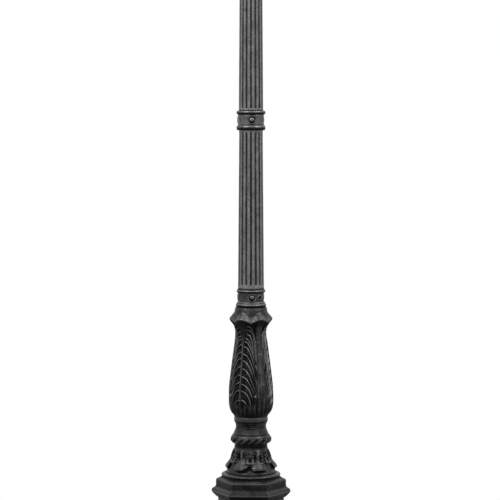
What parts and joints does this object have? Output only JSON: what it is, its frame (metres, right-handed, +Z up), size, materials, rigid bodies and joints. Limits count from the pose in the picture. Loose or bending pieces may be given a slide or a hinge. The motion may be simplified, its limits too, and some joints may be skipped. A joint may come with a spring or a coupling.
{
  "type": "lamp post",
  "caption": "Cast iron garden lamp post: hexagonal base with a rear access door, leafy vase and fluted shafts in moulded collars, with a spigot for a lantern.",
  "frame": {"origin": "middle of the foot, on the ground", "axes": "+Z up along the post, -Y towards the front, +Y towards the access door"},
  "size_m": [0.3186, 0.276, 2.098],
  "materials": {
    "iron": "satin",
    "steel": "satin",
    "plated": "polished",
    "brass": "satin",
    "seal": "matte",
    "board": "matte",
    "moulding": "matte",
    "carrier": "gloss"
  },
  "bodies": {
    "post": {"plinth": "iron", "plinth_cap": "iron", "cap_bolts": "steel", "leaf_bell": "iron", "leaf_ring": "iron", "neck": "iron", "vase": "iron", "core_tube": "steel", "core_washer": "steel", "core_nut": "steel", "core_top_nut": "steel", "lower_collar": "iron", "lower_set_screws": "steel", "lower_shaft": "iron", "upper_collar": "iron", "upper_set_screws": "steel", "upper_shaft": "iron", "top_collar": "iron", "top_set_screws": "steel", "lantern_spigot": "iron", "hinge_pin": "steel", "backboard": "board", "backboard_screws": "steel", "cutout_base": "moulding", "terminal_block": "moulding", "terminal_screws": "brass", "gland_bracket": "steel", "cable_gland": "brass", "gland_nut": "brass", "earth_stud": "brass", "earth_nuts": "brass"},
    "door": {"door": "iron", "door_gasket": "seal", "lock_barrel": "plated", "lock_nut": "plated"},
    "lock": {"lock_plug": "brass", "lock_cam": "plated", "cam_screw": "steel"},
    "fuse_carrier": {"fuse_carrier": "carrier"}
  },
  "joints": [
    {"name": "door_hinge", "type": "hinge", "parent": "post", "child": "door", "pos_m": [-0.0435, 0.0955, 0.148], "axis": [0, 0, 1], "range_deg": [0, 120]},
    {"name": "lock_turn", "type": "hinge", "parent": "door", "child": "lock", "pos_m": [0.017, 0.09, 0.148], "axis": [0, 1, 0], "range_deg": [0, 90]},
    {"name": "carrier_pull", "type": "slide", "parent": "post", "child": "fuse_carrier", "axis": [0, 1, 0], "range_m": [0, 0.025]}
  ]
}
